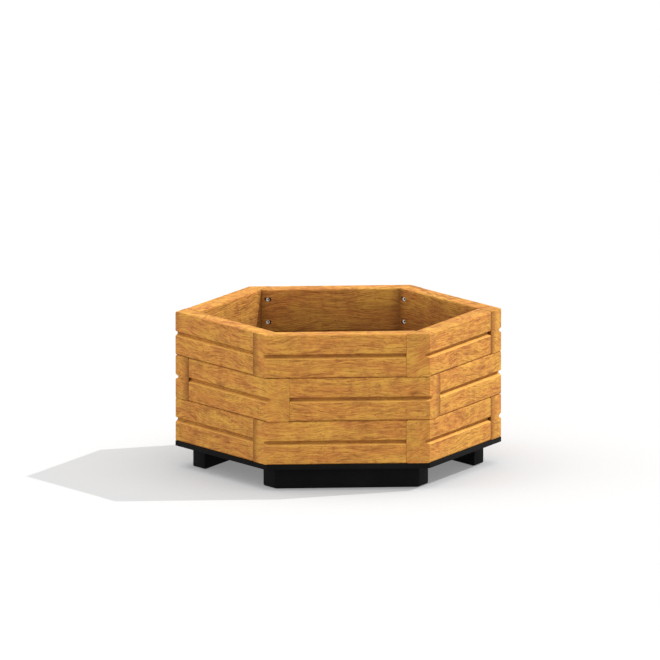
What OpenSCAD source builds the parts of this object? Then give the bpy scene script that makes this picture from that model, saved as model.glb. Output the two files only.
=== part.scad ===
// Hexagonal planter box. Three courses of grooved timber boards, lapped like a pinwheel at the
// corners, stand on a flat base plate with three feet. The turn of the pinwheel changes from
// course to course, so each corner joint is covered by the boards above and below it.
// Millimetres, +Z up. The origin is on the ground under the middle of the box. The front side
// faces -Y, and two corners lie on the X axis.

/* [Plan] */
// Length of one outer side of the hexagon
side_l = 356; // [280:1:480]

/* [Boards] */
// Height of a board, which is one course
board_h = 95; // [80:1:120]
// Thickness of a board
board_t = 45; // [38:1:54]
// Radius on the long edges of a board
board_edge_r = 4; // [1:0.5:6]

/* [Groove] */
// Height of the groove's mouth in a board's outer face
groove_mouth = 11; // [6:0.5:16]
// Height of the groove's floor
groove_floor = 3; // [1:0.5:5]
// Depth of the groove
groove_depth = 9; // [4:0.5:14]

/* [Base plate] */
// Thickness of the base plate
plate_t = 11; // [8:0.5:20]
// Diameter of a drain hole
drain_d = 20; // [8:1:30]
// Radius of the ring of drain holes
drain_ring_r = 130; // [60:1:150]

/* [Feet] */
// Height of a foot
foot_h = 47; // [30:1:70]
// Width of a foot
foot_w = 40; // [30:1:60]
// From the plate's edge to a foot's long side
foot_inset = 32.5; // [32:0.5:45]
// From the plate's neighbouring edge to a foot's end
foot_end_inset = 34.5; // [20:0.5:60]
// Radius on the lower edge of a foot's ends
foot_end_r = 4; // [2:0.5:12]

/* [Screws] */
// Diameter of the screws
screw_d = 5; // [4:0.5:6]
// Diameter of a screw's head
screw_head_d = 9.7; // [8:0.1:11]
// Length of the screws that go up into the bottom course
plate_screw_l = 50; // [30:5:60]
// Length of the screws that hold the feet
foot_screw_l = 40; // [25:5:50]
// From a joint's inner corner to a corner screw, along the board
corner_screw_in = 17; // [13:0.5:20]
// From a board's top or bottom to a corner screw
corner_screw_edge = 22.5; // [18:0.5:32]
// Angle between a corner screw and the inner face
corner_screw_lean = 60; // [50:1:75]
// Wood left between a corner screw's tip and the outer face
corner_screw_cover = 8; // [5:0.5:15]
// From a corner to the plate screw nearest it, along the side
plate_screw_in = 75; // [60:1:110]
// From a foot's end to its first screw
foot_screw_in = 45; // [25:1:80]

/* [Dowels] */
// Diameter of the dowels between the courses
dowel_d = 10; // [6:1:14]
// Length of a dowel
dowel_l = 60; // [40:5:70]
// From a corner to the dowel nearest it, along the side
dowel_in = 90; // [75:1:120]

/* [Fits] */
// Gap all round a screw or a dowel in its hole
hole_gap = 0.1; // [0.05:0.05:0.3]
// Gap past the end of a dowel or a screw's tip
end_gap = 0.5; // [0.3:0.1:1]

/* [Hidden] */
$fn = 48;
SIDES = ["front", "front_right", "rear_right", "rear", "rear_left", "front_left"];
COURSES = ["bottom", "middle", "top"];
FEET = ["front", "rear_right", "rear_left"];
LAYERS = ["lower", "upper"];
side_turn = 60;
foot_turn = 120;
past = 1; // how far a cut runs past the surface it starts from

apothem = side_l * cos(30);
inner_apothem = apothem - board_t;
end_run = board_t * tan(30); // how far a board's end cut runs along the board
plate_top = foot_h + plate_t;
head_cone = (screw_head_d - screw_d) / 2; // a head's sides slope at 45 degrees
drive_d = 0.5 * screw_head_d;
corner_head_sink = screw_head_d / 2 / tan(corner_screw_lean); // its near rim is flush
corner_screw_l = (board_t - corner_screw_cover) / sin(corner_screw_lean) - corner_head_sink;
pocket_run = screw_head_d / tan(corner_screw_lean) + past; // from the head out of its far side
foot_screw_line = (board_t + foot_inset + foot_w) / 2; // between wall and foot's inner side
foot_inner = foot_inset + foot_w;

function board_name(course, side) = str("board_", COURSES[course], "_", SIDES[side]);
function course_z(course) = plate_top + course * board_h;
// Half the length of a foot, at a distance in from the plate's edge
function foot_half(inset) = (apothem / 2 - foot_end_inset + inset / 2) / cos(30);

// ---- Fasteners: each lies along +Z with its head's face, or its lower end, at z = 0 ----

module screw(length) {
    color([0.80, 0.80, 0.78]) difference() {
        rotate_extrude() polygon([
            [0, 0], [screw_head_d / 2, 0], [screw_d / 2, head_cone],
            [screw_d / 2, length - screw_d], [0, length]
        ]);
        for (turn = [0:60:120]) rotate([0, 0, turn]) star_slot();
    }
}

// One of the three slots that make a screw's star drive
module star_slot() {
    translate([-drive_d / 2, -drive_d / 8, -past]) cube([drive_d, drive_d / 4, past + head_cone]);
}

// The hole a screw sits in: its countersink, its shank, and open space in front of its head
module screw_hole(length, open_run) {
    rotate_extrude() polygon([
        [0, -open_run], [screw_head_d / 2 + hole_gap, -open_run],
        [screw_head_d / 2 + hole_gap, 0], [screw_d / 2 + hole_gap, head_cone],
        [screw_d / 2 + hole_gap, length + end_gap], [0, length + end_gap]
    ]);
}

module dowel() {
    chamfer = dowel_d / 10;
    color([0.86, 0.72, 0.50]) rotate_extrude() polygon([
        [0, 0], [dowel_d / 2 - chamfer, 0], [dowel_d / 2, chamfer],
        [dowel_d / 2, dowel_l - chamfer], [dowel_d / 2 - chamfer, dowel_l], [0, dowel_l]
    ]);
}

module dowel_hole() {
    translate([0, 0, -end_gap])
        cylinder(h = dowel_l + 2 * end_gap, r = dowel_d / 2 + hole_gap);
}

// ---- Where the fasteners go, worked out for the front side ----

// Both screws at the right-hand joint of a board whose bottom is at z = 0
module at_corner_screws() {
    for (z = [corner_screw_edge, board_h - corner_screw_edge])
        translate([side_l / 2 - end_run - corner_screw_in, -inner_apothem, z])
            rotate([0, 0, -corner_screw_lean])
                rotate([0, 90, 0])
                    translate([0, 0, corner_head_sink]) children();
}

// Both dowels between this board and the next, where this board's top is at z = 0
module at_dowels() {
    for (sign = [-1, 1])
        translate([sign * (side_l / 2 - dowel_in), -apothem + board_t / 2, -dowel_l / 2])
            children();
}

module at_plate_screws() {
    for (sign = [-1, 1])
        translate([sign * (side_l / 2 - plate_screw_in), -apothem + board_t / 2, foot_h])
            children();
}

module at_foot_screws() {
    for (step = [-1:1])
        translate([
            step * (foot_half(foot_screw_line) - foot_screw_in),
            -apothem + foot_screw_line,
            plate_top
        ])
            rotate([180, 0, 0]) children();
}

module each_side() {
    for (side = [0:5]) rotate([0, 0, side * side_turn]) children();
}

module each_foot() {
    for (foot = [0:2]) rotate([0, 0, foot * foot_turn]) children();
}

// ---- Boards ----

// A board's cross-section: x from its outer face inwards, y from its bottom up
module board_section() {
    r = board_edge_r;
    middle = board_h / 2;
    difference() {
        union() {
            translate([0, r]) square([board_t, board_h - 2 * r]);
            translate([r, 0]) square([board_t - 2 * r, board_h]);
            for (x = [r, board_t - r], y = [r, board_h - r]) translate([x, y]) circle(r);
        }
        polygon([
            [-past, middle - groove_mouth / 2], [0, middle - groove_mouth / 2],
            [groove_depth, middle - groove_floor / 2], [groove_depth, middle + groove_floor / 2],
            [0, middle + groove_mouth / 2], [-past, middle + groove_mouth / 2]
        ]);
    }
}

// The front board, bottom at z = 0. Its left end laps the neighbour and its end cut lies in the
// neighbour's outer face. Its right end butts against the next board's inner face.
module board_blank() {
    intersection() {
        translate([-side_l, -apothem, 0])
            rotate([90, 0, 90]) linear_extrude(2 * side_l) board_section();
        translate([0, 0, -past]) linear_extrude(board_h + 2 * past) polygon([
            [-side_l / 2, -apothem], [side_l / 2 - 2 * end_run, -apothem],
            [side_l / 2 - end_run, -inner_apothem], [-side_l / 2 - end_run, -inner_apothem]
        ]);
    }
}

// The middle course is the mirror image of the other two
module course_turn(course) {
    mirror([course == 1 ? 1 : 0, 0, 0]) children();
}

module board(course, side) {
    color([0.76, 0.50, 0.21])
        translate([0, 0, course_z(course)]) rotate([0, 0, side * side_turn])
            difference() {
                course_turn(course) difference() {
                    board_blank();
                    for (turn = [0, -side_turn]) rotate([0, 0, turn])
                        at_corner_screws() screw_hole(corner_screw_l, pocket_run);
                }
                if (course < 2) translate([0, 0, board_h]) at_dowels() dowel_hole();
                if (course > 0) at_dowels() dowel_hole();
                if (course == 0)
                    translate([0, 0, -plate_top]) at_plate_screws() screw_hole(plate_screw_l, past);
            }
}

// ---- Base ----

module base_plate() {
    color([0.11, 0.11, 0.11]) difference() {
        translate([0, 0, foot_h]) cylinder(h = plate_t, r = side_l, $fn = 6);
        each_side() at_plate_screws() screw_hole(plate_screw_l, past);
        each_foot() at_foot_screws() screw_hole(foot_screw_l, past);
        drain_holes();
    }
}

module drain_holes() {
    translate([0, 0, foot_h - past]) {
        cylinder(h = plate_t + 2 * past, d = drain_d);
        each_side() translate([0, -drain_ring_r, 0]) cylinder(h = plate_t + 2 * past, d = drain_d);
    }
}

module foot(number) {
    color([0.07, 0.07, 0.07]) rotate([0, 0, number * foot_turn]) difference() {
        linear_extrude(foot_h) polygon([
            [-foot_half(foot_inset), -apothem + foot_inset],
            [foot_half(foot_inset), -apothem + foot_inset],
            [foot_half(foot_inner), -apothem + foot_inner],
            [-foot_half(foot_inner), -apothem + foot_inner]
        ]);
        foot_end_rounding();
        mirror([1, 0, 0]) foot_end_rounding();
        at_foot_screws() screw_hole(foot_screw_l, past);
    }
}

// What is cut away to round the lower edge of a foot's right-hand end
module foot_end_rounding() {
    r = foot_end_r;
    translate([foot_half(foot_inset), -apothem + foot_inset, 0]) rotate([90, 0, -30])
        linear_extrude(4 * foot_w, center = true) difference() {
            translate([-r, -past]) square([r + past, r + past]);
            translate([-r, r]) circle(r);
        }
}

// ---- Fastener groups ----

module corner_screws(course) {
    translate([0, 0, course_z(course)]) course_turn(course)
        each_side() at_corner_screws() screw(corner_screw_l);
}

module dowels(layer) {
    translate([0, 0, course_z(layer + 1)]) each_side() at_dowels() dowel();
}

module plate_screws() {
    each_side() at_plate_screws() screw(plate_screw_l);
}

module foot_screws() {
    each_foot() at_foot_screws() screw(foot_screw_l);
}

for (course = [0:2], side = [0:5])
    board(course, side);
base_plate();
for (number = [0:2]) foot(number);
for (course = [0:2])
    corner_screws(course);
for (layer = [0:1]) dowels(layer);
plate_screws();
foot_screws();
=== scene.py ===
"""Hexagonal planter box: grooved timber boards, lapped at the corners, on a black base plate with
three beam feet. Metres, +Z up, front side facing -Y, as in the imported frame."""

import math

import bmesh
import bpy
import numpy as np
from mathutils import Matrix, Vector


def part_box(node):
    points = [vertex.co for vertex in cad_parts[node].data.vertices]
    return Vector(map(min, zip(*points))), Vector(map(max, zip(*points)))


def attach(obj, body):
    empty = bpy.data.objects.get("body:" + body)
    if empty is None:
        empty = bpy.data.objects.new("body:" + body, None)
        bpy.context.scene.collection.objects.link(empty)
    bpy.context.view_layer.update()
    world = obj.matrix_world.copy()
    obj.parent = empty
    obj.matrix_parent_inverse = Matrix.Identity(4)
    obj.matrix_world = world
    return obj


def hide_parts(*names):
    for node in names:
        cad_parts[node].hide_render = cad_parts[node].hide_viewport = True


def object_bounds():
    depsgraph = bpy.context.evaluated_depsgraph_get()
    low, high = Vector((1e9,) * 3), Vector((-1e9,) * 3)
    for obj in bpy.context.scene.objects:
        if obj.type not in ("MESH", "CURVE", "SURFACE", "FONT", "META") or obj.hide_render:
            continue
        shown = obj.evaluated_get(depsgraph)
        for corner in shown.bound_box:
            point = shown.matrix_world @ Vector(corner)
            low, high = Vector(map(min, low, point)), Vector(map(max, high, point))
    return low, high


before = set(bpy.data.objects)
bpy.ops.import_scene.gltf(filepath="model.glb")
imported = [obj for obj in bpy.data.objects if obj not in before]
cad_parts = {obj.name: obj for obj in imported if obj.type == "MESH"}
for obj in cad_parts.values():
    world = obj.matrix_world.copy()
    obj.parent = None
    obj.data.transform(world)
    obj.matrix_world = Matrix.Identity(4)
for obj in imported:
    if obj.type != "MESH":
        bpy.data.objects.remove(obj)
cad_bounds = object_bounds()
scene = bpy.context.scene

# ---- Sizes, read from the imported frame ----

MM = 0.001
far_corner = cad_bounds[1]
SIDE = far_corner[0]  # a hexagon's side is as long as its corners are far out
APOTHEM = far_corner[1]
plate_low, plate_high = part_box("base_plate")
board_low, board_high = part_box("board_bottom_front")
PLATE_BOTTOM, PLATE_TOP = plate_low.z, plate_high.z
BOARD_H = board_high.z - board_low.z
BOARD_T = board_high.y - board_low.y
foot_low, foot_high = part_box("foot_front")
CUT_ANGLE = math.radians(30)  # from a square cut to the boards' end cuts
CUT_SLOPE = math.tan(CUT_ANGLE)
END_RUN = BOARD_T * CUT_SLOPE  # how far an end cut runs along its board
INNER_APOTHEM = APOTHEM - BOARD_T

# ---- Sizes that the frame doesn't hold, the same as in the design ----

EDGE_R = 4 * MM
GROOVE_MOUTH = 11 * MM
GROOVE_FLOOR = 3 * MM
GROOVE_DEPTH = 9 * MM
GROOVE_LIP_R = 2.2 * MM
GROOVE_ROOT_R = 1.2 * MM
FOOT_INSET = 32.5 * MM  # from the plate's edge to a foot's long side
FOOT_END_INSET = 34.5 * MM  # from the plate's edge to a foot's end
FOOT_END_R = 4 * MM
FOOT_CORNER_R = 1.5 * MM
FOOT_SIDE_EASE = 1.0 * MM
PLATE_CORNER_R = 0.5 * MM
PLATE_EASE = 0.6 * MM
SCREW_D = 5 * MM
HEAD_D = 9.7 * MM
HEAD_CONE = (HEAD_D - SCREW_D) / 2
CORNER_SCREW_IN = 17 * MM  # from an inside corner
CORNER_SCREW_EDGE = 22.5 * MM  # from a board's top or bottom
CORNER_SCREW_LEAN = math.radians(60)  # from the wall's inner face
CORNER_SCREW_COVER = 8 * MM  # timber left past the screw's point
PLATE_SCREW_IN = 75 * MM  # from a side's end
PLATE_SCREW_L = 50 * MM
FOOT_SCREW_IN = 45 * MM  # from a foot's end
FOOT_SCREW_L = 40 * MM
DOWEL_D = 10 * MM
DOWEL_L = 60 * MM
DOWEL_IN = 90 * MM  # from a side's end
DRAIN_D = 20 * MM
DRAIN_RING_R = 130 * MM
HOLE_GAP = 0.1 * MM
HOLE_PAST = 0.5 * MM  # how far a hole runs on past the end of what it holds
HEAD_ROOM = 1 * MM  # how far a hole's mouth is cut in front of a screw's head

HEAD_SINK = HEAD_D / 2 / math.tan(CORNER_SCREW_LEAN)
CORNER_SCREW_L = (BOARD_T - CORNER_SCREW_COVER) / math.sin(CORNER_SCREW_LEAN) - HEAD_SINK
FOOT_W = foot_high.y - foot_low.y
FOOT_SCREW_LINE = (BOARD_T + FOOT_INSET + FOOT_W) / 2

SIDES = ["front", "front_right", "rear_right", "rear", "rear_left", "front_left"]
COURSES = ["bottom", "middle", "top"]
FEET = ["front", "rear_right", "rear_left"]
FAINT_SHADE_SIDES = (1, 5)  # the two sides next to the front one, whose end seams and groove get fainter painted shade
SIDE_TURN = math.radians(60)
ALL_SIDES = [side * SIDE_TURN for side in range(6)]
ALL_FEET = [foot * 2 * SIDE_TURN for foot in range(3)]
CRISP_ANGLE = 32  # an edge stays crisp where its faces meet at more than this, in degrees
CRISP_SCREW_ANGLE = 35
rng = np.random.default_rng(7)


# ---- Shapes as arrays ----


def rounded_outline(corners, radii, arc_steps=5, spacing=1.0):
    """A closed outline. Each corner becomes an arc tangent to both its edges, with arc_steps spans,
    and each straight stretch is divided into spans no longer than spacing."""
    corners = np.asarray(corners, float)
    arcs = []
    for i, radius in enumerate(radii):
        before, here, after = corners[i - 1], corners[i], corners[(i + 1) % len(corners)]
        into = (here - before) / np.linalg.norm(here - before)
        out = (after - here) / np.linalg.norm(after - here)
        turn = math.atan2(into[0] * out[1] - into[1] * out[0], into @ out)
        start = here - into * radius * math.tan(abs(turn) / 2)
        normal = np.array([-into[1], into[0]]) * math.copysign(1, turn)
        centre = start + normal * radius
        angles = np.linspace(0, turn, arc_steps + 1)
        spoke = start - centre
        arcs.append(
            centre
            + np.stack(
                [
                    spoke[0] * np.cos(angles) - spoke[1] * np.sin(angles),
                    spoke[0] * np.sin(angles) + spoke[1] * np.cos(angles),
                ],
                axis=1,
            )
        )
    points = []
    for i, arc in enumerate(arcs):
        points.append(arc)
        end, start = arc[-1], arcs[(i + 1) % len(arcs)][0]
        spans = max(1, math.ceil(np.linalg.norm(start - end) / spacing))
        steps = np.linspace(0, 1, spans + 1)[1:-1, None]
        points.append(end + (start - end) * steps)
    return np.concatenate(points)


def outline_normals(outline):
    """At each point of an anticlockwise outline, the unit vector across its two neighbours,
    turned a right angle outwards."""
    along = np.roll(outline, -1, axis=0) - np.roll(outline, 1, axis=0)
    across = np.stack([along[:, 1], -along[:, 0]], axis=1)
    return across / np.linalg.norm(across, axis=1, keepdims=True)


def skin(rings):
    """The closed skin of a stack of closed rings, as (points, faces). Point j of a ring joins to
    point j of the next, both ends are filled, and the winding is turned to face outwards."""
    count, around = rings.shape[:2]
    points = rings.reshape(-1, 3)
    i, j = np.meshgrid(np.arange(count - 1), np.arange(around), indexing="ij")
    k = (j + 1) % around
    here, beyond = i * around, (i + 1) * around
    quads = np.stack([here + j, here + k, beyond + k, beyond + j], axis=-1).reshape(-1, 4)
    corner = points[quads]
    signed = np.einsum("ij,ij->i", corner[:, 0], np.cross(corner[:, 1], corner[:, 2]))
    signed += np.einsum("ij,ij->i", corner[:, 0], np.cross(corner[:, 2], corner[:, 3]))
    first = list(range(around))[::-1]
    last = list(range((count - 1) * around, count * around))
    faces = quads.tolist() + [first, last]
    for cap in (first, last):
        fan = points[cap]
        signed = np.append(
            signed, np.einsum("j,ij->i", fan[0], np.cross(fan[1:-1], fan[2:]))
        )
    if signed.sum() < 0:
        faces = [face[::-1] for face in faces]
    return points, faces


def placed(shell, matrices):
    """Copies of one shell, each moved by its matrix, joined as one shell."""
    points, faces = shell
    all_points, all_faces = [], []
    for number, matrix in enumerate(matrices):
        turn = np.array(matrix.to_3x3())
        all_points.append(points @ turn.T + np.array(matrix.translation))
        all_faces += [[index + number * len(points) for index in face] for face in faces]
    return np.concatenate(all_points), all_faces


def mesh_object(name, shell):
    """A new object whose mesh is a shell's points and faces, with nothing turned or scaled."""
    points, faces = shell
    mesh = bpy.data.meshes.new(name)
    mesh.from_pydata(points.tolist(), [], faces)
    mesh.validate()
    mesh.update()
    piece = bpy.data.objects.new(name, mesh)
    scene.collection.objects.link(piece)
    return piece


def smooth(piece, degrees):
    """Smooth shading, with an edge kept crisp where its faces meet at more than this angle."""
    mesh = piece.data
    mesh.polygons.foreach_set("use_smooth", np.ones(len(mesh.polygons), bool))
    mesh.set_sharp_from_angle(angle=math.radians(degrees))


def finish_piece(piece, material, slot_name, *nodes):
    """Gives a piece its one material, and puts it in place of the design's nodes. Its slot_name is
    not used.
    """
    piece.data.materials.clear()
    piece.data.materials.append(material)
    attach(piece, "root")
    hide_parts(*nodes)


def full_turn(around):
    """Equal angles round a circle, starting at 0."""
    return np.linspace(0, 2 * np.pi, around, endpoint=False)


def ring(radius, height, angles):
    """Points round Z: x is the radius times the cosine of the angle, y is the radius times its
    sine, and z is the height."""
    return np.stack(
        [radius * np.cos(angles), radius * np.sin(angles), height + 0 * angles], axis=-1
    )


def lathe(profile, around=24):
    """Rings of a profile of (radius, height) points turned about Z."""
    radii, heights = np.array(profile).T[:, :, None]
    return ring(radii, heights, full_turn(around))


def circle(centre, radius, around=48):
    """A flat circle: the centre plus the radius times the cosine and the sine of the angle."""
    angles = full_turn(around)
    return np.stack(
        [centre[0] + radius * np.cos(angles), centre[1] + radius * np.sin(angles)], axis=1
    )


# ---- Where the fasteners go ----


def aim(point, direction):
    """The placement that puts local +Z along a direction, at a point."""
    return Matrix.Translation(point) @ Vector(direction).to_track_quat("Z", "Y").to_matrix().to_4x4()


def corner_screw_places():
    """The two screws at the front side's right-hand joint, with the board's bottom at z = 0. A
    head's centre is moved along its screw from the board's face until the head is all below it."""
    mouth_x = SIDE / 2 - END_RUN - CORNER_SCREW_IN
    lean = Vector((math.cos(CORNER_SCREW_LEAN), -math.sin(CORNER_SCREW_LEAN), 0))
    return [
        aim(Vector((mouth_x, -INNER_APOTHEM, z)) + lean * HEAD_SINK, lean)
        for z in (CORNER_SCREW_EDGE, BOARD_H - CORNER_SCREW_EDGE)
    ]


def dowel_places():
    """The two dowels at the top of the front side's board, with that top at z = 0."""
    return [
        aim((sign * (SIDE / 2 - DOWEL_IN), -APOTHEM + BOARD_T / 2, -DOWEL_L / 2), (0, 0, 1))
        for sign in (-1, 1)
    ]


def plate_screw_places():
    """The two screws up through the plate into the front side's board, on its middle line."""
    return [
        aim((sign * (SIDE / 2 - PLATE_SCREW_IN), -APOTHEM + BOARD_T / 2, PLATE_BOTTOM), (0, 0, 1))
        for sign in (-1, 1)
    ]


def foot_half(inset):
    """Half the length of a foot, at a distance in from the plate's edge: half the apothem, less the
    gap at the foot's end, plus half that distance, over the cosine of the end cut's angle."""
    return (APOTHEM / 2 - FOOT_END_INSET + inset / 2) / math.cos(CUT_ANGLE)


def foot_screw_places():
    """The three screws down through the plate into the front foot: one in the middle of its
    length and one near each end."""
    reach = foot_half(FOOT_SCREW_LINE) - FOOT_SCREW_IN
    return [
        aim((step * reach, -APOTHEM + FOOT_SCREW_LINE, PLATE_TOP), (0, 0, -1))
        for step in (-1, 0, 1)
    ]


def turned(places, turns):
    """Every place, turned about Z by each of the turns."""
    return [Matrix.Rotation(turn, 4, "Z") @ place for turn in turns for place in places]


def other_hand(place):
    """The mirror place across x = 0, as a turn that keeps the piece's own hand."""
    point = place.translation
    way = place.to_3x3() @ Vector((0, 0, 1))
    return aim((-point.x, point.y, point.z), (-way.x, way.y, way.z))


# ---- Materials ----


class Wiring:
    """Short calls for building one material's nodes."""

    def __init__(self, name):
        self.material = bpy.data.materials.new(name)
        self.material.use_nodes = True
        self.tree = self.material.node_tree
        self.shader = self.tree.nodes["Principled BSDF"]

    def node(self, kind, inputs=None, **settings):
        """A new node with its settings, and each named input set or linked."""
        made = self.tree.nodes.new(kind)
        for key, value in settings.items():
            setattr(made, key, value)
        for key, value in (inputs or {}).items():
            self.put(made.inputs[key], value)
        return made

    def put(self, socket, value):
        """Links a socket's value to an input, or sets the input to a plain value."""
        if isinstance(value, bpy.types.NodeSocket):
            self.tree.links.new(value, socket)
        else:
            socket.default_value = value

    def math(self, operation, a, b=0.0):
        """The result of one operation on two numbers."""
        made = self.node("ShaderNodeMath", operation=operation)
        self.put(made.inputs[0], a)
        self.put(made.inputs[1], b)
        return made.outputs[0]

    def vector(self, operation, a, b):
        """The result of one operation on two vectors."""
        made = self.node("ShaderNodeVectorMath", operation=operation)
        self.put(made.inputs[0], a)
        self.put(made.inputs[1], b)
        return made.outputs[0]

    def noise(self, place, scale, detail, roughness=0.5, stretch=(1, 1, 1)):
        """Noise with so many marks to a metre, the scale times the stretch on each axis."""
        spot = self.vector("MULTIPLY", place, stretch)
        return self.node(
            "ShaderNodeTexNoise",
            {"Vector": spot, "Scale": scale, "Detail": detail, "Roughness": roughness},
        ).outputs["Fac"]

    def ramp(self, factor, *stops):
        """A grey value that runs in straight lines through (position, value) stops."""
        made = self.node("ShaderNodeValToRGB")
        elements = made.color_ramp.elements
        while len(elements) < len(stops):
            elements.new(0.5)
        for element, (position, value) in zip(elements, stops):
            element.position = position
            element.color = (value, value, value, 1)
        self.put(made.inputs[0], factor)
        return made.outputs[0]

    def times(self, a, b):
        """One number times another."""
        return self.math("MULTIPLY", a, b)

    def blend(self, factor, a, b):
        """Colour a where the factor is 0, and colour b where it is 1."""
        made = self.node("ShaderNodeMix", data_type="RGBA")
        self.put(made.inputs[0], factor)
        self.put(made.inputs[6], a)
        self.put(made.inputs[7], b)
        return made.outputs[2]

    def attribute(self, name, output):
        """What add_attribute stored on the piece's points or faces under a name."""
        return self.node("ShaderNodeAttribute", attribute_name=name).outputs[output]

    def bump(self, height, distance, strength, under=None):
        """Fine relief from a height, on top of another relief if one is given."""
        made = self.node(
            "ShaderNodeBump", {"Height": height, "Distance": distance, "Strength": strength}
        )
        if under is not None:
            self.put(made.inputs["Normal"], under)
        return made.outputs[0]

    def set(self, **sockets):
        """Sets or links the shader's own inputs, with a low line for each space in their names."""
        for key, value in sockets.items():
            self.put(self.shader.inputs[key.replace("_", " ")], value)


def rgb(red, green, blue):
    """A solid colour as a socket takes it."""
    return (red, green, blue, 1.0)


RING_WIDTH = 0.0042  # what the log grows in a year, in metres
SWAY = 0.048  # how far the rings wander from true circles, in metres
MATTE = 0.05  # the shine of the timber and the plate


def stained_timber():
    """Planed softwood under a golden-brown stain, as if cut from a solid log. The fibre is noise
    over three lengths: along the log, across the board, and out from the log's heart. The late wood
    is a ramp of the fraction of that last length over the width of a ring. Colours are laid over
    one another from the widest marks to the finest. Then shade is painted into the colour: in the
    end seams, under the groove's upper lip and the boards' bottom edges, in the inside corners, low
    on the inside and in the screw pockets. Light is painted on the groove's lower flank."""
    w = Wiring("stained_timber")
    log = w.attribute("log_place", "Vector")
    tone = w.attribute("board_tone", "Fac")
    end = w.attribute("end_grain", "Fac")
    depth = w.attribute("depth", "Fac")

    sway = w.node(
        "ShaderNodeTexNoise",
        {
            "Vector": w.vector("MULTIPLY", log, (7, 15, 15)),
            "Scale": 1.0,
            "Detail": 1.6,
            "Roughness": 0.45,
        },
    ).outputs["Color"]
    sway = w.vector("MULTIPLY", w.vector("SUBTRACT", sway, (0.5, 0.5, 0.5)), (0.0, SWAY, SWAY))
    bent = w.vector("ADD", log, sway)
    parts = w.node("ShaderNodeSeparateXYZ", {"Vector": bent})
    out = w.node("ShaderNodeVectorMath", operation="LENGTH")
    w.put(out.inputs[0], w.vector("MULTIPLY", bent, (0, 1, 1)))
    from_heart = out.outputs["Value"]
    grain = w.node(
        "ShaderNodeCombineXYZ",
        {"X": parts.outputs["X"], "Y": parts.outputs["Y"], "Z": from_heart},
    ).outputs[0]
    turn = w.math("FRACT", w.times(from_heart, 1 / RING_WIDTH))
    late = w.ramp(turn, (0.0, 0.0), (0.5, 0.1), (0.82, 1.0), (0.93, 0.7), (1.0, 0.0))

    # The first four noises follow the rings. The last three are blotches that lie in the log
    # whichever way the rings go.
    fibre = w.noise(grain, 1.0, 2.0, 0.6, (48, 80, 400))
    streak = w.noise(grain, 1.0, 3.0, 0.6, (17, 40, 170))
    pore = w.noise(grain, 1.0, 1.0, 0.5, (150, 220, 380))
    knurl = w.noise(grain, 1.0, 2.0, 0.6, (75, 100, 190))
    curl = w.noise(log, 1.0, 2.0, 0.5, (40, 18, 14))
    patch = w.noise(log, 1.0, 2.0, 0.5, (8, 30, 30))
    shade = w.noise(log, 1.0, 1.0, 0.4, (17, 26, 26))
    along = w.math("SUBTRACT", 1.0, w.times(end, 0.35))  # dark marks are fainter on the end cuts

    gold = rgb(0.645, 0.335, 0.062)
    honey = rgb(0.575, 0.238, 0.052)
    russet = rgb(0.40, 0.148, 0.042)
    brown = rgb(0.18, 0.062, 0.016)
    base = w.blend(w.ramp(patch, (0.38, 0.0), (0.60, 1.0)), gold, honey)
    for factor, colour in (
        (w.ramp(curl, (0.44, 0.0), (0.66, 0.5)), russet),
        (w.ramp(shade, (0.58, 0.0), (0.72, 0.5)), russet),
        (w.times(late, 0.5), russet),
        (w.times(w.ramp(streak, (0.5, 0.0), (0.74, 0.62)), along), brown),
        (w.ramp(streak, (0.28, 0.8), (0.47, 0.0)), gold),
        (w.times(w.ramp(fibre, (0.5, 0.0), (0.76, 0.66)), along), brown),
        (w.ramp(fibre, (0.26, 0.7), (0.46, 0.0)), gold),
        (w.times(w.ramp(knurl, (0.5, 0.0), (0.75, 0.35)), along), russet),
        (w.times(w.ramp(pore, (0.6, 0.0), (0.74, 0.5)), along), brown),
    ):
        base = w.blend(factor, base, colour)

    object_place = w.node("ShaderNodeTexCoord").outputs["Object"]
    height = w.node("ShaderNodeSeparateXYZ", {"Vector": object_place}).outputs["Z"]
    # Painted shade: a dark band on each end cut towards its seam, as strong as the board's shade
    # weight.
    seam = w.times(w.ramp(depth, (0.5, 0.0), (0.98, 0.85)), w.attribute("painted_shade_weight", "Fac"))
    side = w.math("SUBTRACT", 1.0, end)
    # Painted shade under the groove's upper lip and each board's bottom edge, and in the inside
    # corners.
    shaded = w.math("MAXIMUM", w.attribute("overhang", "Fac"), w.attribute("nook", "Fac"))
    # Painted shade: the inner faces are darker towards the bottom.
    inside = w.times(w.ramp(depth, (0.95, 0.0), (0.99, 0.5)), side)
    low_down = w.ramp(height, (0.24, 1.0), (0.33, 0.0))
    # Painted light: the groove's lower flank is made paler, as if lit.
    painted_lip_light = rgb(0.88, 0.47, 0.11)
    # Painted shade: the screw pockets are near black.
    painted_pocket_shade = rgb(0.03, 0.012, 0.005)
    for factor, colour in (
        (w.times(end, seam), brown),
        (w.times(w.times(w.attribute("ledge", "Fac"), side), 0.6), painted_lip_light),
        (w.times(w.times(shaded, side), 0.6), brown),
        (w.times(inside, low_down), brown),
        (w.times(w.attribute("bored", "Fac"), 0.85), painted_pocket_shade),
    ):
        base = w.blend(factor, base, colour)
    toned = w.node("ShaderNodeHueSaturation", {"Color": base, "Value": w.math("ADD", tone, 1.0)})
    w.set(
        Base_Color=toned.outputs[0],
        Roughness=w.ramp(fibre, (0.3, 0.62), (0.7, 0.78)),
        Specular_IOR_Level=MATTE,
    )
    fine = w.math("ADD", w.times(fibre, -0.5), w.times(late, -0.3))
    coarse = w.math("ADD", w.times(knurl, 0.5), w.times(streak, -0.8))
    w.set(Normal=w.bump(fine, 0.0006, 0.9, w.bump(coarse, 0.0022, 0.9)))
    return w.material


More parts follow.
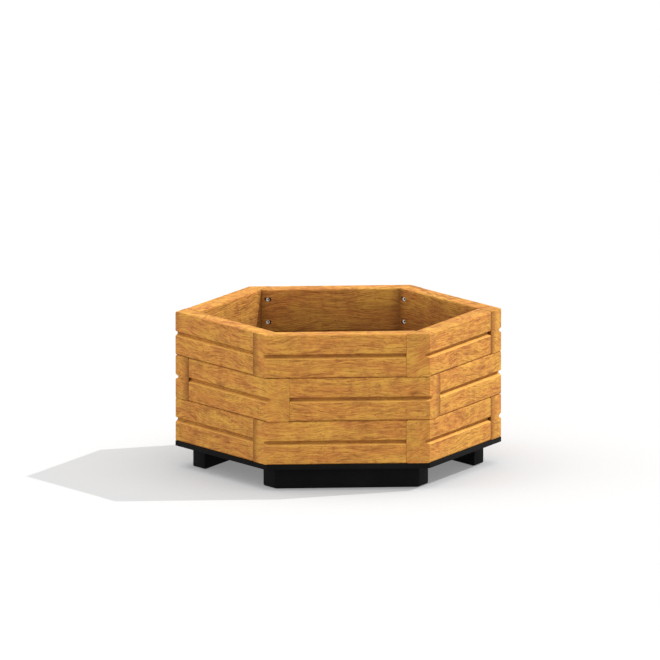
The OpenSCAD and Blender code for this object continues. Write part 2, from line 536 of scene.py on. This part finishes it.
def black_plate():
    """Black compact board: fine pebbled face, almost no gloss."""
    w = Wiring("black_plate")
    place = w.node("ShaderNodeTexCoord").outputs["Object"]
    grain = w.noise(place, 1400, 2.0)
    dust = w.noise(place, 9, 3.0)
    clean, dusty = rgb(0.0045, 0.0043, 0.0041), rgb(0.007, 0.0067, 0.0064)
    w.set(
        Base_Color=w.blend(w.ramp(dust, (0.4, 0.0), (0.7, 1.0)), clean, dusty),
        Roughness=w.ramp(grain, (0.35, 0.6), (0.65, 0.72)),
        Specular_IOR_Level=MATTE,
        Normal=w.bump(grain, 0.0002, 0.35),
    )
    return w.material


def black_beam():
    """Moulded black plastic: matte, with slow flow marks."""
    w = Wiring("black_beam")
    place = w.node("ShaderNodeTexCoord").outputs["Object"]
    grain = w.noise(place, 900, 2.0)
    flow = w.noise(place, 14, 4.0)
    deep, pale = rgb(0.0036, 0.0036, 0.0038), rgb(0.0062, 0.0062, 0.0064)
    w.set(
        Base_Color=w.blend(w.ramp(flow, (0.4, 0.0), (0.7, 1.0)), deep, pale),
        Roughness=w.ramp(flow, (0.35, 0.6), (0.65, 0.72)),
        Specular_IOR_Level=0.06,
        Normal=w.bump(grain, 0.0003, 0.3),
    )
    return w.material


def zinc():
    """Bright zinc plate on a steel screw, mottled, with painted shade that makes the drive near
    black.
    """
    w = Wiring("zinc_screw")
    place = w.node("ShaderNodeTexCoord").outputs["Object"]
    mottle = w.noise(place, 420, 3.0)
    face = w.blend(mottle, rgb(0.94, 0.93, 0.91), rgb(0.99, 0.98, 0.96))
    w.set(
        # Painted shade: near black inside the drive.
        Base_Color=w.blend(w.attribute("in_drive", "Fac"), face, rgb(0.03, 0.028, 0.026)),
        Metallic=0.1,
        Roughness=w.ramp(mottle, (0.3, 0.25), (0.7, 0.36)),
    )
    return w.material


def dowel_wood():
    """Pale turned hardwood with fine upright fibres."""
    w = Wiring("dowel_wood")
    place = w.node("ShaderNodeTexCoord").outputs["Object"]
    fibre = w.noise(place, 1.0, 4.0, 0.6, (900, 900, 25))
    w.set(
        Base_Color=w.blend(fibre, rgb(0.42, 0.27, 0.13), rgb(0.66, 0.48, 0.27)),
        Roughness=0.6,
        Normal=w.bump(fibre, 0.0002, 0.4),
    )
    return w.material


# ---- Boards ----


def board_section():
    """The board's outline as (depth from the outer face, height): rounded long edges, and a groove
    with eased lips."""
    middle = BOARD_H / 2
    corners = [
        (0, 0), (BOARD_T, 0), (BOARD_T, BOARD_H), (0, BOARD_H),
        (0, middle + GROOVE_MOUTH / 2), (GROOVE_DEPTH, middle + GROOVE_FLOOR / 2),
        (GROOVE_DEPTH, middle - GROOVE_FLOOR / 2), (0, middle - GROOVE_MOUTH / 2),
    ]
    radii = [EDGE_R] * 4 + [GROOVE_LIP_R, GROOVE_ROOT_R, GROOVE_ROOT_R, GROOVE_LIP_R]
    return rounded_outline(corners, radii, arc_steps=6, spacing=STATION_STEP)


END_EASE = 1.3 * MM
NOOK_RUN = 20 * MM  # how far the painted shade of an inside corner reaches
STATION_STEP = 7 * MM
RELIEF = 0.3 * MM
PAST_EDGE = 1.1  # a little more than a size, to take in the points that lie on its edge
DEEP_SHADE, FAINT_SHADE = 0.9, 0.12  # how strong the painted shade is in a board's end seams and groove
EASE_RINGS = 5  # rings along the quarter circle at each end
WAVES = 5  # sine waves in one board's relief
LOG_STEP = 1.7  # how far apart along the log two boards are cut, in metres


def relief(along, outline, waves):
    """How far a planed face dips, from 0 to RELIEF: the mean of a few long sine waves along the
    board and round its section."""
    depth, height = outline[None, :, 0], outline[None, :, 1]
    total = sum(
        np.sin(along * along_rate + depth * depth_rate + height * height_rate + phase)
        for along_rate, depth_rate, height_rate, phase in waves
    )
    return RELIEF * (0.5 + 0.5 * total / len(waves))


def board_rings():
    """Rings of the front board, bottom at z = 0: the section carried from one slanted end cut to
    the other. The left cut's x falls, and the right cut's x grows, with the depth times the cut's
    slope. Near each cut the section shrinks along a quarter circle, which eases the end's edges."""
    outline = board_section()
    normals = outline_normals(outline)
    quarter = np.linspace(0, np.pi / 2, EASE_RINGS)
    ease_in = END_EASE * (1 - np.cos(quarter))
    shrink_in = END_EASE * (1 - np.sin(quarter))
    spans = math.ceil(SIDE / STATION_STEP)
    between = np.linspace(0, 1, spans + 1)[1:-1]
    share = np.concatenate([np.zeros(EASE_RINGS), between, np.ones(EASE_RINGS)])
    shift = np.concatenate([ease_in, np.zeros(spans - 1), -ease_in[::-1]])
    shrink = np.concatenate([shrink_in, np.zeros(spans - 1), shrink_in[::-1]])
    share, shift, shrink = share[:, None], shift[:, None], shrink[:, None]

    waves = [
        (rng.uniform(8, 45), rng.uniform(-60, 60), rng.uniform(-60, 60), rng.uniform(0, 6.3))
        for _ in range(WAVES)
    ]
    inwards = shrink + relief(share * SIDE, outline, waves)
    depth = outline[None, :, 0] - normals[None, :, 0] * inwards
    height = outline[None, :, 1] - normals[None, :, 1] * inwards
    left = -SIDE / 2 - depth * CUT_SLOPE
    right = SIDE / 2 - 2 * END_RUN + depth * CUT_SLOPE
    x = left + (right - left) * share + shift
    return np.stack([x, -APOTHEM + depth, height], axis=-1)


def hole_shell(length, open_run):
    """The space a screw takes up: open in front of its head, then countersink and shank."""
    radius, shank = HEAD_D / 2 + HOLE_GAP, SCREW_D / 2 + HOLE_GAP
    return skin(
        lathe([(radius, -open_run), (radius, 0), (shank, HEAD_CONE), (shank, length + HOLE_PAST)])
    )


def cut(piece, shells):
    """Takes closed shells out of a piece, and applies the result to its mesh."""
    points = [shell[0] for shell in shells]
    starts = np.cumsum([0] + [len(rows) for rows in points[:-1]])
    faces = [
        [index + start for index in face]
        for (_, shell_faces), start in zip(shells, starts)
        for face in shell_faces
    ]
    cutter = mesh_object("cutter", (np.concatenate(points), faces))
    modifier = piece.modifiers.new("holes", "BOOLEAN")
    modifier.operation = "DIFFERENCE"
    modifier.solver = "EXACT"
    modifier.object = cutter
    cut_mesh = bpy.data.meshes.new_from_object(
        piece.evaluated_get(bpy.context.evaluated_depsgraph_get())
    )
    piece.modifiers.clear()
    old = piece.data
    piece.data = cut_mesh
    bpy.data.meshes.remove(old)
    bpy.data.objects.remove(cutter)


def points_of(mesh):
    """A mesh's points as an array, one row for each."""
    flat = np.zeros(len(mesh.vertices) * 3, np.float32)
    mesh.vertices.foreach_get("co", flat)
    return flat.reshape(-1, 3).astype(float)


def add_attribute(mesh, name, kind, values, domain="POINT"):
    """Stores one value for each point or face, for the material to read."""
    layer = mesh.attributes.new(name, kind, domain)
    key = "vector" if kind == "FLOAT_VECTOR" else "value"
    layer.data.foreach_set(key, np.ascontiguousarray(values, np.float32).ravel())


def mark_bores(mesh, places):
    """Marks the faces inside the screw pockets, for painted shade: those whose middle lies within a
    head's radius of the line of a screw, and no further in front of its head than twice the head's
    width."""
    middles = np.zeros(len(mesh.polygons) * 3, np.float32)
    mesh.polygons.foreach_get("center", middles)
    middles = np.c_[middles.reshape(-1, 3), np.ones(len(mesh.polygons))]
    bored = np.zeros(len(middles))
    for place in places:
        local = middles @ np.array(place.inverted()).T
        inside = np.hypot(local[:, 0], local[:, 1]) < HEAD_D / 2 + 2 * HOLE_GAP
        bored[inside & (local[:, 2] > -2 * HEAD_D)] = 1
    add_attribute(mesh, "bored", "FLOAT", bored, "FACE")


def mark_grain(mesh, number, painted_shade_weight):
    """Stores each point's place in the log that the board was sawn from. The heart of the log lies
    above or below the board, and the board leans across it, so the rings run out of its faces."""
    points = points_of(mesh)
    depth = points[:, 1] + APOTHEM
    across = depth - rng.uniform(-0.01, 0.09)
    up = points[:, 2] - BOARD_H / 2 + rng.choice((-1, 1)) * rng.uniform(0.06, 0.2)
    lean_across, lean_up = rng.uniform(-0.05, 0.05, 2)
    along = points[:, 0] + number * LOG_STEP + rng.uniform(0, 1)
    log = np.stack(
        [along, across + points[:, 0] * lean_across, up + points[:, 0] * lean_up], axis=1
    )
    add_attribute(mesh, "log_place", "FLOAT_VECTOR", log)
    add_attribute(mesh, "board_tone", "FLOAT", np.full(len(points), rng.uniform(-0.03, 0.03)))
    add_attribute(mesh, "painted_shade_weight", "FLOAT", np.full(len(points), painted_shade_weight))
    mark_surfaces(mesh, points, depth, painted_shade_weight)


def mark_surfaces(mesh, points, depth, painted_shade_weight):
    """Stores what part of the board each point is on, from 0 to 1. end_grain falls from 1 at an end
    cut to 0 an ease away from it, and depth is the way in from the outer face over the thickness.
    overhang is painted shade: it grows with the depth on the groove's upper flank, and with nearness
    to the bottom edge. ledge is painted light, and falls with the depth on the lower flank. nook is
    the painted shade of the inside corners, and grows along the inner face to its ends."""
    from_left = points[:, 0] + SIDE / 2 + depth * CUT_SLOPE
    from_right = SIDE / 2 - 2 * END_RUN + depth * CUT_SLOPE - points[:, 0]
    near = np.minimum(from_left, from_right) * math.cos(CUT_ANGLE)
    add_attribute(mesh, "end_grain", "FLOAT", np.clip(1 - near / END_EASE, 0, 1))
    add_attribute(mesh, "depth", "FLOAT", depth / BOARD_T)

    from_groove = np.abs(points[:, 2] - BOARD_H / 2)
    shallow = depth < GROOVE_DEPTH * PAST_EDGE
    in_groove = (from_groove < GROOVE_MOUTH / 2 + GROOVE_LIP_R) & shallow
    sunk = np.clip(depth / GROOVE_DEPTH, 0, 1) * in_groove
    upper = points[:, 2] > BOARD_H / 2
    at_root = depth > 0.9 * GROOVE_DEPTH
    # Painted shade: under the bottom edge, and on the groove's upper flank and root, scaled by the
    # board's shade weight.
    under = np.clip(1 - points[:, 2] / EDGE_R, 0, 1) * (depth < EDGE_R * PAST_EDGE)
    groove_dark = (0.4 + 0.5 * painted_shade_weight) * sunk * (upper | at_root)
    add_attribute(mesh, "overhang", "FLOAT", np.maximum(groove_dark, under))
    # Painted light on the groove's lower flank, fading with the depth.
    lit = (1 - 0.7 * sunk) * in_groove * ~upper * (depth > 0.25 * MM)
    add_attribute(mesh, "ledge", "FLOAT", lit)

    from_corner = SIDE / 2 - END_RUN - np.abs(points[:, 0])
    nook = np.clip(1 - from_corner / NOOK_RUN, 0, 1) * (depth > BOARD_T * 0.95)
    add_attribute(mesh, "nook", "FLOAT", nook)


def board_holes(course, corner_places):
    """The spaces that the fasteners of a front board take up: its two pairs of corner screws, the
    dowels above and below it, and the plate screws if it is a bottom one."""
    pocket_run = HEAD_D / math.tan(CORNER_SCREW_LEAN) + HEAD_ROOM
    pocket = hole_shell(CORNER_SCREW_L, pocket_run)
    shells = [placed(pocket, [place]) for place in corner_places]
    dowel_r = DOWEL_D / 2 + HOLE_GAP
    dowel_space = skin(lathe([(dowel_r, -HOLE_PAST), (dowel_r, DOWEL_L + HOLE_PAST)]))
    top = Matrix.Translation((0, 0, BOARD_H))
    if course < 2:
        shells += [placed(dowel_space, [top @ place]) for place in dowel_places()]
    if course > 0:
        shells += [placed(dowel_space, [place]) for place in dowel_places()]
    if course == 0:
        down = Matrix.Translation((0, 0, -PLATE_TOP))
        plate_hole = hole_shell(PLATE_SCREW_L, HEAD_ROOM)
        shells += [placed(plate_hole, [down @ place]) for place in plate_screw_places()]
    return shells


def make_board(course, side, material):
    """Makes one board as the front one, bored and marked. A middle board is mirrored across x = 0,
    so its laps turn the other way. Then it is lifted to its course and turned to its side."""
    piece = mesh_object(f"timber_{COURSES[course]}_{SIDES[side]}", skin(board_rings()))
    corner_places = turned(corner_screw_places(), (0, -SIDE_TURN))
    cut(piece, board_holes(course, corner_places))
    mark_bores(piece.data, corner_places)
    painted_shade_weight = FAINT_SHADE if side in FAINT_SHADE_SIDES else DEEP_SHADE
    mark_grain(piece.data, course * len(SIDES) + side, painted_shade_weight)
    if course == 1:
        piece.data.transform(Matrix.Diagonal((-1, 1, 1, 1)))
        piece.data.flip_normals()
    lift = Matrix.Translation((0, 0, PLATE_TOP + course * BOARD_H))
    piece.data.transform(lift @ Matrix.Rotation(side * SIDE_TURN, 4, "Z"))
    smooth(piece, CRISP_ANGLE)
    node = f"board_{COURSES[course]}_{SIDES[side]}"
    finish_piece(piece, material, "stained_timber", node)


# ---- Plate and feet ----


def flat_sheet(name, outlines, low_z, high_z, ease):
    """A flat sheet with eased edges, from closed outlines: the first is its rim, the others are
    holes through it. The outlines are drawn in by the ease, and a quarter circle of that radius
    carries each edge back out."""
    curve = bpy.data.curves.new(name, "CURVE")
    curve.dimensions = "2D"
    curve.fill_mode = "BOTH"
    curve.extrude = (high_z - low_z) / 2 - ease
    curve.bevel_depth = ease
    curve.bevel_resolution = 2
    curve.offset = -ease
    for outline in outlines:
        spline = curve.splines.new("POLY")
        spline.points.add(len(outline) - 1)
        flat = np.zeros((len(outline), 4))
        flat[:, :2] = outline
        flat[:, 3] = 1
        spline.points.foreach_set("co", flat.ravel())
        spline.use_cyclic_u = True
    holder = bpy.data.objects.new(name + "_outline", curve)
    scene.collection.objects.link(holder)
    mesh = bpy.data.meshes.new_from_object(
        holder.evaluated_get(bpy.context.evaluated_depsgraph_get())
    )
    bpy.data.objects.remove(holder)
    bpy.data.curves.remove(curve)
    mesh.transform(Matrix.Translation((0, 0, (low_z + high_z) / 2)))
    merged = bmesh.new()
    merged.from_mesh(mesh)
    bmesh.ops.remove_doubles(merged, verts=merged.verts, dist=1e-6)
    bmesh.ops.recalc_face_normals(merged, faces=merged.faces)
    merged.to_mesh(mesh)
    merged.free()
    piece = bpy.data.objects.new(name, mesh)
    scene.collection.objects.link(piece)
    return piece


def make_plate(material):
    """The hexagon under the walls, its corners at the side's length times the cosine and the sine
    of each sixth of a turn, with the drain holes and a hole for each screw's head."""
    corners = [(SIDE * math.cos(turn), SIDE * math.sin(turn)) for turn in ALL_SIDES]
    rim = rounded_outline(corners, [PLATE_CORNER_R] * 6, arc_steps=3)
    drains = [circle((0, 0), DRAIN_D / 2)] + [
        circle((DRAIN_RING_R * math.sin(turn), -DRAIN_RING_R * math.cos(turn)), DRAIN_D / 2)
        for turn in ALL_SIDES
    ]
    screws = turned(plate_screw_places(), ALL_SIDES) + turned(foot_screw_places(), ALL_FEET)
    seats = [circle(place.translation, HEAD_D / 2 + HOLE_GAP, 36) for place in screws]
    piece = flat_sheet("plate", [rim] + drains + seats, PLATE_BOTTOM, PLATE_TOP, PLATE_EASE)
    smooth(piece, CRISP_ANGLE)
    finish_piece(piece, material, "black_plate", "base_plate")


def foot_rings():
    """Rings of the front foot from the ground up. Each is its plan outline, with straight long
    sides and slanted ends. Near the ground the ends are drawn in along a quarter circle, and the
    sides along a small chamfer."""
    rise = np.linspace(0, np.pi / 2, 8)
    heights = np.concatenate([FOOT_END_R * (1 - np.cos(rise)), [PLATE_BOTTOM]])
    draws = np.concatenate([FOOT_END_R * (1 - np.sin(rise)), [0]])
    rings = []
    for height, draw in zip(heights, draws):
        side_draw = FOOT_SIDE_EASE * max(0.0, 1 - height / FOOT_SIDE_EASE)
        outer, inner = FOOT_INSET + side_draw, FOOT_INSET + FOOT_W - side_draw
        end = draw / math.cos(CUT_ANGLE)
        corners = [
            (-foot_half(outer) + end, -APOTHEM + outer), (foot_half(outer) - end, -APOTHEM + outer),
            (foot_half(inner) - end, -APOTHEM + inner), (-foot_half(inner) + end, -APOTHEM + inner),
        ]
        outline = rounded_outline(corners, [FOOT_CORNER_R] * 4, arc_steps=4)
        rings.append(np.column_stack([outline, np.full(len(outline), height)]))
    return np.array(rings)


def make_foot(number, material):
    """Makes one foot as the front one, with its screw holes, and turns it to its side."""
    piece = mesh_object(f"beam_foot_{FEET[number]}", skin(foot_rings()))
    hole = hole_shell(FOOT_SCREW_L, HEAD_ROOM)
    cut(piece, [placed(hole, [place]) for place in foot_screw_places()])
    piece.data.transform(Matrix.Rotation(ALL_FEET[number], 4, "Z"))
    smooth(piece, CRISP_ANGLE)
    finish_piece(piece, material, "black_beam", f"foot_{FEET[number]}")


# ---- Screws and dowels ----

DRIVE_R = 1.95 * MM
DRIVE_LOBE = 0.3 * MM
DRIVE_DEPTH = 2.4 * MM
DRIVE_REACH = 1.07 * (DRIVE_R + DRIVE_LOBE)  # just past the outermost point of the drive's lip
THREAD_PITCH = 2.4 * MM
THREAD_CORE = 1.6 * MM
THREAD_START = 3 * MM  # below the head's cone
THREAD_WIDTH = 0.28  # from the ridge's top to its foot, as a share of the pitch
POINT_R = 0.1 * MM
TIP = 6 * MM
FLUTES = 16
FLUTE_DIP = 0.035
DOWEL_CHAMFER = 1 * MM


def screw_shell(length, around=36):
    """A countersunk screw, head at z = 0 and point at z = length. The drive's radius is a mean plus
    a cosine of six times the angle. The thread is a ridge on the core, as high as a triangle wave
    of height over pitch less angle over a turn, and it tapers in a straight line at the tip."""
    angles = full_turn(around)
    lobes = DRIVE_R + DRIVE_LOBE * np.cos(6 * angles)
    head_r = HEAD_D / 2
    drive = [
        (POINT_R, DRIVE_DEPTH + 0.3 * MM),
        (lobes * 0.82, DRIVE_DEPTH),
        (lobes * 0.96, 0.25 * MM),
        (lobes * 1.06, 0.02 * MM),
    ]
    dome = [
        (head_r * 0.7, 0.0),
        (head_r * 0.84, 0.09 * MM),
        (head_r - 0.25 * MM, 0.26 * MM),
        (head_r - 0.05 * MM, 0.4 * MM),
        (head_r, 0.55 * MM),
    ]
    cone = [
        (head_r - 0.2 * MM, 0.72 * MM),
        (SCREW_D / 2, HEAD_CONE + 0.1 * MM),
        (THREAD_CORE + 0.3 * MM, HEAD_CONE + 1.2 * MM),
    ]
    thread = []
    for height in np.arange(HEAD_CONE + THREAD_START, length - 0.3 * MM, THREAD_PITCH / 6):
        turn = (height / THREAD_PITCH - angles / (2 * np.pi)) % 1
        ridge = np.clip(1 - np.abs(turn - 0.5) / THREAD_WIDTH, 0, 1)
        taper = min(1.0, (length - height) / TIP)
        thread.append(((THREAD_CORE + (SCREW_D / 2 - THREAD_CORE) * ridge) * taper, height))
    profile = drive + dome + cone + thread + [(POINT_R, length)]
    return skin(np.array([ring(radius, height, angles) for radius, height in profile]))


def dowel_shell(around=48):
    """A fluted dowel: its radius dips by half of one plus a cosine of sixteen times the angle, and
    both ends are chamfered."""
    angles = full_turn(around)
    flute = 1 - FLUTE_DIP * (0.5 + 0.5 * np.cos(FLUTES * angles))
    full_r, end_r = DOWEL_D / 2, DOWEL_D / 2 - DOWEL_CHAMFER
    profile = [
        (end_r, 0), (full_r, DOWEL_CHAMFER),
        (full_r, DOWEL_L - DOWEL_CHAMFER), (end_r, DOWEL_L),
    ]
    return skin(np.array([ring(radius * flute, height, angles) for radius, height in profile]))


def screw_group(name, length, places, material, node):
    """One object with a screw at each place. The points inside the drive are marked for painted
    shade:
    nearer to the screw's line than the drive's lip, and below the head's face."""
    shell = screw_shell(length)
    piece = mesh_object(name, placed(shell, places))
    local = np.tile(shell[0], (len(places), 1))
    from_line = np.hypot(local[:, 0], local[:, 1])
    in_drive = (from_line < DRIVE_REACH) & (local[:, 2] < DRIVE_DEPTH + 0.4 * MM)
    add_attribute(piece.data, "in_drive", "FLOAT", in_drive & (local[:, 2] > 0.1 * MM))
    smooth(piece, CRISP_SCREW_ANGLE)
    finish_piece(piece, material, "zinc_screw", node)


def make_fasteners(steel, pale_wood):
    """All the screws and dowels. The middle course's corner screws are mirrored like its boards."""
    for course, name in enumerate(COURSES):
        lift = Matrix.Translation((0, 0, PLATE_TOP + course * BOARD_H))
        places = corner_screw_places()
        if course == 1:
            places = [other_hand(place) for place in places]
        places = [lift @ place for place in turned(places, ALL_SIDES)]
        node = f"corner_screws_{name}"
        screw_group(f"screws_corner_{name}", CORNER_SCREW_L, places, steel, node)
    for name, length, places in (
        ("plate", PLATE_SCREW_L, turned(plate_screw_places(), ALL_SIDES)),
        ("foot", FOOT_SCREW_L, turned(foot_screw_places(), ALL_FEET)),
    ):
        screw_group(f"screws_{name}", length, places, steel, f"{name}_screws")
    for layer, name in enumerate(("lower", "upper")):
        lift = Matrix.Translation((0, 0, PLATE_TOP + (layer + 1) * BOARD_H))
        places = [lift @ place for place in turned(dowel_places(), ALL_SIDES)]
        piece = mesh_object(f"pegs_{name}", placed(dowel_shell(), places))
        smooth(piece, CRISP_SCREW_ANGLE)
        finish_piece(piece, pale_wood, "dowel_wood", f"dowels_{name}")


# ---- Surroundings ----

CAMERA_PLACE = (-2.8777, -42.6547, 7.9351)
CAMERA_YAW = math.radians(3.835)
CAMERA_PITCH = math.radians(10.128)
CAMERA_LENS = 1087.4
FLOOR_Z = -0.1 * MM  # the feet stand clear of it by the thickness of a sheet of paper
FLOOR_REACH = 60.0
FLOOR_GREY = 0.30
FLOOR_GLOW = 0.22

# Each light: its name, the way to it, its strength, and how wide it looks in degrees.
KEY_LIGHT = ("key", (0.6829, 0.1945, 0.7041), 3.45, 0.6)
FRONT_LIGHT = ("front", (-0.48, -0.84, 0.20), 0.5, 40)
FLOOR_LIGHTS = [("fill", (-0.72, 0.12, 0.68), 0.9, 50), ("top", (0, 0, 1), 2.15, 70)]


def make_camera():
    """A long lens from far off, so the upright edges stay nearly parallel."""
    data = bpy.data.cameras.new("camera")
    data.lens = CAMERA_LENS
    data.sensor_width = 36.0
    data.clip_end = 300.0
    camera = bpy.data.objects.new("camera", data)
    camera.location = CAMERA_PLACE
    camera.rotation_euler = (math.radians(90) - CAMERA_PITCH, 0, -CAMERA_YAW)
    scene.collection.objects.link(camera)
    scene.camera = camera


def make_floor():
    """A flat square with a faint glow of its own, far wider than the view."""
    corners = [(-1, -1), (1, -1), (1, 1), (-1, 1)]
    points = np.array([(x * FLOOR_REACH, y * FLOOR_REACH, FLOOR_Z) for x, y in corners])
    piece = mesh_object("floor", (points, [[0, 1, 2, 3]]))
    w = Wiring("pale_floor")
    w.set(
        Base_Color=rgb(FLOOR_GREY, FLOOR_GREY, FLOOR_GREY),
        Roughness=0.9,
        Specular_IOR_Level=0.0,
        Emission_Color=rgb(1, 1, 1),
        Emission_Strength=FLOOR_GLOW,
    )
    piece.data.materials.append(w.material)
    return piece


def make_sun(name, direction, strength, spread):
    """A light from very far off, shining from one direction over a spread in degrees."""
    data = bpy.data.lights.new(name, "SUN")
    data.energy = strength
    data.angle = math.radians(spread)
    light = bpy.data.objects.new(name, data)
    light.rotation_euler = Vector(direction).to_track_quat("Z", "Y").to_euler()
    light.location = (0, 0, 2)
    scene.collection.objects.link(light)
    return light


def make_surroundings():
    """Camera, floor and lights. The floor lights reach only the floor."""
    make_camera()
    floor = make_floor()
    make_sun(*KEY_LIGHT)
    make_sun(*FRONT_LIGHT)
    lit = bpy.data.collections.new("lit_by_floor_lights")
    lit.objects.link(floor)
    for settings in FLOOR_LIGHTS:
        make_sun(*settings).light_linking.receiver_collection = lit
    world = bpy.data.worlds.new("studio")
    world.use_nodes = True
    background = world.node_tree.nodes["Background"]
    background.inputs["Color"].default_value = rgb(1, 1, 1)
    background.inputs["Strength"].default_value = 1.0
    scene.world = world
    scene.view_settings.view_transform = "Standard"


make_surroundings()
timber = stained_timber()
for course in range(len(COURSES)):
    for side in range(len(SIDES)):
        make_board(course, side, timber)
make_plate(black_plate())
beam = black_beam()
for number in range(len(FEET)):
    make_foot(number, beam)
make_fasteners(zinc(), dowel_wood())
